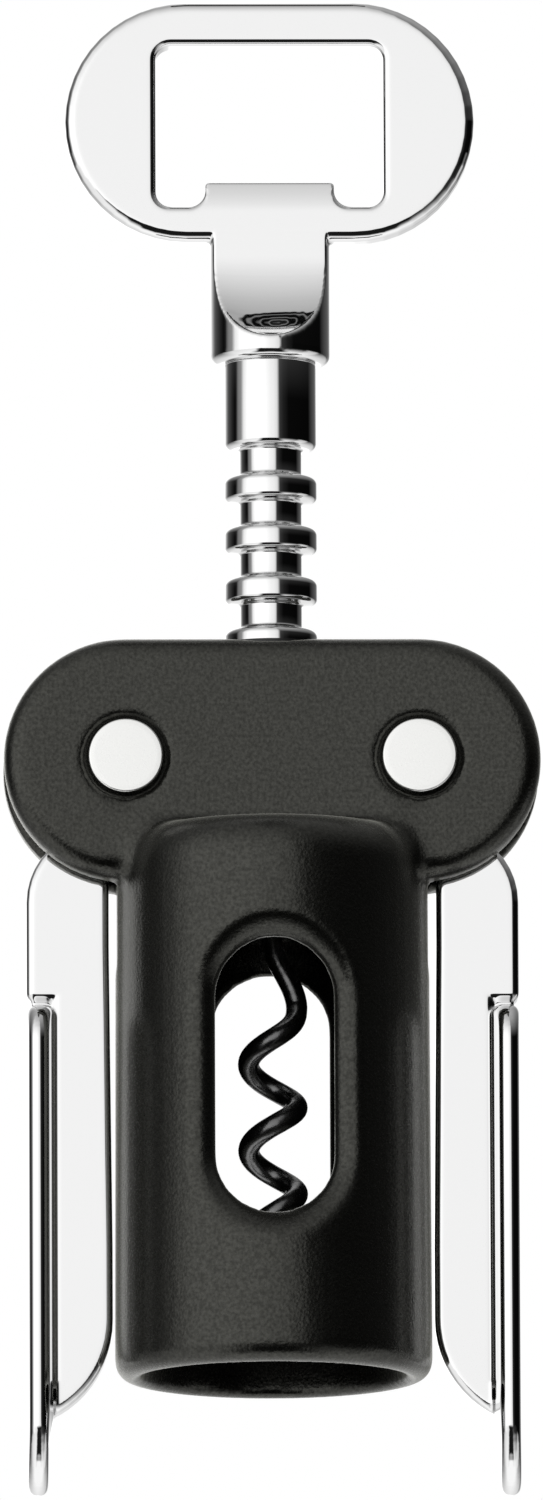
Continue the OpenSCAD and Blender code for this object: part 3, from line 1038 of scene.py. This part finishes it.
@dataclass
class Worm:
    """The coated wire helix, ground to a point."""

    finish: Material
    wire_r: float = 1.24
    coil_r: float = 2.8
    pitch: float = 10.1
    phase_z: float = 31.5
    tip_z: float = 11.4
    ease_z: float = 36.55
    ease_rise: float = 7.35
    leave_z: float = 43.0
    shank_z: float = 51.2
    taper: float = 9.0
    tip_r: float = 0.12
    sides: int = 20
    steps: int = 190

    def point(self, z: float) -> Vector:
        """Middle of the wire at a height."""
        angle = self.angle(z)
        share = min(1.0, max(0.0, (z - self.leave_z) / (self.shank_z - self.leave_z)))
        radius = self.coil_r * (1 + math.cos(math.pi * share)) / 2
        return Vector((radius * math.cos(angle), radius * math.sin(angle), z))

    def angle(self, z: float) -> float:
        """Where the coil stands at a height, in radians from +X."""
        turns = (min(z, self.ease_z) - self.phase_z) / self.pitch
        u = min(1.0, max(0.0, (z - self.ease_z) / self.ease_rise))
        start = 2 * self.ease_rise / self.pitch
        turns += 0.5 * (start * (u ** 3 - 2 * u ** 2 + u) + 3 * u ** 2 - 2 * u ** 3)
        return math.tau * turns

    def station(self, z: float) -> Matrix:
        """Maps a unit circle to the wire's section at a height."""
        ahead = (self.point(z + 0.02) - self.point(z - 0.02)).normalized()
        angle = self.angle(z)
        outward = Vector((math.cos(angle), math.sin(angle), 0))
        side = (outward - ahead * outward.dot(ahead)).normalized()
        up = ahead.cross(side)
        thin = min(1.0, max(0.0, (z - self.tip_z) / self.taper))
        radius = self.tip_r + (self.wire_r - self.tip_r) * math.sqrt(thin)
        turn = Matrix((side, up, ahead)).transposed().to_4x4()
        return Matrix.Translation(self.point(z)) @ turn @ Matrix.Scale(radius, 4)

    def build(self) -> Piece:
        """Sweeps the wire and rides it on the turning body."""
        top = box_mm("worm")[1].z
        heights = [self.tip_z + (self.shank_z - self.tip_z) * k / self.steps for k in range(self.steps + 1)]
        stations = [self.station(z) for z in (*heights, top)]
        bm = bmesh.new()
        bmesh.ops.create_circle(bm, cap_ends=True, segments=self.sides, radius=1, matrix=stations[0])
        edges = bm.edges[:]
        for before, here in zip(stations, stations[1:]):
            grown = bmesh.ops.extrude_edge_only(bm, edges=edges)["geom"]
            verts = [g for g in grown if isinstance(g, bmesh.types.BMVert)]
            edges = [g for g in grown if isinstance(g, bmesh.types.BMEdge) and set(g.verts) <= set(verts)]
            bmesh.ops.transform(bm, matrix=here @ before.inverted(), verts=verts)
        bmesh.ops.edgeloop_fill(bm, edges=edges)
        bmesh.ops.recalc_face_normals(bm, faces=bm.faces)
        piece = to_object("wire_worm", bm)
        shade(piece)
        hand_over(piece, "spindle", "worm", self.finish)
        return piece


@dataclass
class HiddenPieces:
    """Bushes, washers, snap ring and cross pins, whose CAD shapes are right as they are."""

    nylon: Material
    satin: Material
    spring: Material

    def dress(self) -> None:
        """Gives each of them its finish."""
        finishes = {
            "bush": self.nylon, "washer": self.nylon, "handle_cross_pin": self.satin,
            "stop_ring": self.spring, "worm_cross_pin": self.spring,
        }
        for name, node in frame["nodes"].items():
            finish = next((finish for word, finish in finishes.items() if word in name), None)
            if finish is not None:
                node.data.materials.clear()
                node.data.materials.append(finish)
                log.info("%s: %s", name, finish.name)


# --- Studio ------------------------------------------------------------------

Stops = tuple[tuple[float, float], ...]


@dataclass
class Studio:
    """White room, dark at the right and rear left, with a pale floor and a long lens from below.

    The wall stops are degrees of azimuth from the front to the right, with a brightness. The other
    stops run from straight down (0) to straight up (1), or from the lamp's middle (0) to its rim.
    """

    floor_z: float = -450.0
    floor_size: float = 30000.0
    floor_colour: str = "f4f4f3"
    lens: float = 600.0
    sensor: float = 36.0
    aim_z: float = 73.4
    distance: float = 2900.0
    below: float = 9.03
    azimuth: float = -1.0
    roll: float = 0.22
    walls: Stops = (
        (-180, 1.6), (-165, 1.2), (-150, 0.5), (-137, 0.12), (-128, 0.06), (-114, 0.02),
        (-104, 0.004), (-97, 0.01), (-90, 0.20), (-80, 0.30), (-72, 0.95), (-60, 1.25), (-16, 1.25),
        (0, 1.05), (8, 1.0), (16, 0.85), (22, 0.04), (32, 0.015), (46, 0.003), (112, 0.002),
        (126, 0.05), (150, 0.12), (165, 0.38), (177, 1.0), (180, 2.2),
    )
    low_walls: Stops = (
        (-180, 0.9), (-150, 0.6), (-125, 0.25), (-112, 0.20), (-84, 0.80), (-60, 0.90), (-16, 1.0),
        (8, 0.9), (18, 0.5), (26, 0.04), (72, 0.03), (84, 0.60), (104, 0.60), (114, 0.10),
        (150, 0.6), (180, 0.9),
    )
    sunk: Stops = ((0.42, 1.0), (0.465, 0.0))
    roof: Stops = ((0.556, 0.0), (0.694, 0.41), (0.822, 0.76), (0.944, 1.0))
    roof_level: float = 0.44
    ground: Stops = ((0.0, 1.0), (0.16, 1.0), (0.42, 0.0), (1.0, 0.0))
    ground_level: float = 1.1
    apron: Stops = ((0.10, 0.0), (0.20, 1.0), (0.435, 1.0), (0.455, 0.0))
    apron_level: float = 0.01
    apron_front: tuple[float, float] = (0.05, 0.45)
    apron_side: tuple[float, float] = (0.32, 0.5)
    lamp: Stops = (
        (0.0, 0.3), (0.12, 0.02), (0.22, 0.02), (0.27, 0.5), (0.33, 0.0), (0.45, 0.0), (0.5, 0.5),
        (0.56, 0.0), (0.7, 0.0), (0.77, 0.55), (0.83, 0.0), (0.95, 0.0), (1.0, 1.0),
    )
    lamp_level: float = 0.003
    lamp_lean: float = -2.3
    lamp_reach: float = 15.5
    lamp_squeeze: float = 3.0

    @staticmethod
    def ramp(tree: Tree, source: Socket, stops: Stops) -> Socket:
        """Adds a grey ramp with the given (place, brightness) stops and returns its colour."""
        node = add_node(tree, "ShaderNodeValToRGB", {"Fac": source})
        elements = node.color_ramp.elements
        elements[0].position, elements[-1].position = stops[0][0], stops[-1][0]
        for place, _ in stops[1:-1]:
            elements.new(place)
        for element, (_, level) in zip(elements, stops):
            element.color = grey(level)
        return node.outputs["Color"]

    def around(self, tree: Tree, share: Socket, stops: Stops) -> Socket:
        """Adds a ring of walls from stops in degrees of azimuth and returns its colour."""
        return self.ramp(tree, share, tuple(((degrees + 180) / 360, level) for degrees, level in stops))

    def room(self, tree: Tree, ray: Socket) -> Socket:
        """Adds walls, roof, ground and the dark apron in front.

        Args:
            tree: the world's node tree.
            ray: the direction looked in.

        Returns:
            The room's colour in that direction.
        """
        split = add_node(tree, "ShaderNodeSeparateXYZ", {"Vector": ray}).outputs
        ahead = maths(tree, "MULTIPLY", split["Y"], -1.0)
        azimuth = maths(tree, "ARCTAN2", split["X"], ahead)
        share = spread(tree, azimuth, 0.0, 1.0, -math.pi, math.pi)
        climb = spread(tree, maths(tree, "ARCSINE", split["Z"]), 0.0, 1.0, -math.pi / 2, math.pi / 2)
        sides = mixed(tree, self.ramp(tree, climb, self.sunk),
                      self.around(tree, share, self.walls), self.around(tree, share, self.low_walls))
        upper = mixed(tree, self.ramp(tree, climb, self.roof), sides, grey(self.roof_level))
        lower = mixed(tree, self.ramp(tree, climb, self.ground), upper, grey(self.ground_level))
        facing = spread(tree, ahead, 0.0, 1.0, *self.apron_front)
        narrow = spread(tree, maths(tree, "ABSOLUTE", split["X"]), 1.0, 0.0, *self.apron_side)
        band = maths(tree, "MULTIPLY", self.ramp(tree, climb, self.apron), facing)
        return mixed(tree, maths(tree, "MULTIPLY", band, narrow), lower, grey(self.apron_level))

    def lamp_share(self, tree: Tree, ray: Socket) -> Socket:
        """Adds the dark ringed lamp overhead.

        Args:
            tree: the world's node tree.
            ray: the direction looked in.

        Returns:
            How much of the room shows past the lamp in that direction.
        """
        lean = math.sin(math.radians(self.lamp_lean))
        apart = fed(tree, "ShaderNodeVectorMath", {0: ray, 1: (0, -lean, 0)}, operation="ADD")
        oval = fed(tree, "ShaderNodeVectorMath", {0: apart, 1: (self.lamp_squeeze, 1, 0)},
                   operation="MULTIPLY")
        off = fed(tree, "ShaderNodeVectorMath", {0: oval}, "Value", operation="LENGTH")
        height = add_node(tree, "ShaderNodeSeparateXYZ", {"Vector": ray}).outputs["Z"]
        far = maths(tree, "ADD", off, maths(tree, "LESS_THAN", height, 0.0))
        across = spread(tree, far, 0.0, 1.0, 0.0, math.sin(math.radians(self.lamp_reach)))
        return self.ramp(tree, across, self.lamp)

    def world(self) -> None:
        """Builds the room's light; the camera itself sees white paper."""
        world = bpy.data.worlds.new("studio")
        bpy.context.scene.world = world
        world.use_nodes = True
        tree = world.node_tree
        tree.nodes.clear()
        ray = add_node(tree, "ShaderNodeTexCoord").outputs["Generated"]
        seen = mixed(tree, self.lamp_share(tree, ray), grey(self.lamp_level), self.room(tree, ray))
        room = fed(tree, "ShaderNodeBackground", {"Color": seen, "Strength": 1.0})
        paper = fed(tree, "ShaderNodeBackground", {"Color": (1, 1, 1, 1), "Strength": 1.0})
        camera = add_node(tree, "ShaderNodeLightPath").outputs["Is Camera Ray"]
        both = fed(tree, "ShaderNodeMixShader", {0: camera, 1: room, 2: paper})
        add_node(tree, "ShaderNodeOutputWorld", {"Surface": both})

    def floor(self) -> None:
        """Lays a pale floor well below the corkscrew; from underneath it is clear."""
        bm = bmesh.new()
        bmesh.ops.create_grid(bm, x_segments=1, y_segments=1, size=self.floor_size / 2,
                              matrix=Matrix.Translation((0, 0, self.floor_z)))
        floor = to_object("floor", bm)
        material, tree, _ = new_material("pale_paper")
        paper = fed(tree, "ShaderNodeBsdfDiffuse", {"Color": linear(self.floor_colour)})
        clear = fed(tree, "ShaderNodeBsdfTransparent", {})
        under = add_node(tree, "ShaderNodeNewGeometry").outputs["Backfacing"]
        both = fed(tree, "ShaderNodeMixShader", {0: under, 1: paper, 2: clear})
        add_node(tree, "ShaderNodeOutputMaterial", {"Surface": both})
        floor.data.materials.append(material)
        floor.visible_glossy = False
        floor.visible_diffuse = False

    def camera(self) -> None:
        """Sets the camera a little left of the front, looking up at the corkscrew."""
        data = bpy.data.cameras.new("camera")
        data.lens = self.lens
        data.sensor_width = self.sensor
        data.clip_start = 0.1
        data.clip_end = 100
        camera = bpy.data.objects.new("camera", data)
        bpy.context.scene.collection.objects.link(camera)
        a, e = math.radians(self.azimuth), math.radians(-self.below)
        back = Vector((math.sin(a) * math.cos(e), -math.cos(a) * math.cos(e), math.sin(e)))
        aim = Vector((0, 0, self.aim_z))
        turn = (-back).to_track_quat("-Z", "Y").to_matrix().to_4x4()
        roll = Matrix.Rotation(math.radians(-self.roll), 4, "Z")
        camera.matrix_world = Matrix.Translation((aim + back * self.distance) * MM) @ turn @ roll
        bpy.context.scene.camera = camera

    def build(self) -> None:
        """Builds the whole studio."""
        self.world()
        self.floor()
        self.camera()
        bpy.context.scene.view_settings.view_transform = "Standard"


def main() -> None:
    """Builds the studio, then the corkscrew's pieces in order."""
    logging.basicConfig(level=logging.INFO, format="%(name)s: %(message)s")
    Studio().build()
    steel = BlastedSteel("satin_steel").build()
    Housing(MouldedSkin().build()).build()
    rivets = PivotRivets(steel)
    lever_chrome = ChromePlate("lever_chrome").build()
    for side in Side:
        rivets.build(side)
        Lever(lever_chrome, side).build()
    RackSpindle(ChromePlate("spindle_chrome").build()).build()
    OpenerHandle(ChromePlate("handle_chrome").build()).build()
    Worm(WormCoat().build()).build()
    spring = BlastedSteel("spring_steel", colour="6a6a6c", roughness=0.3).build()
    HiddenPieces(BlackNylon().build(), steel, spring).dress()


if __name__ == "__main__":
    main()
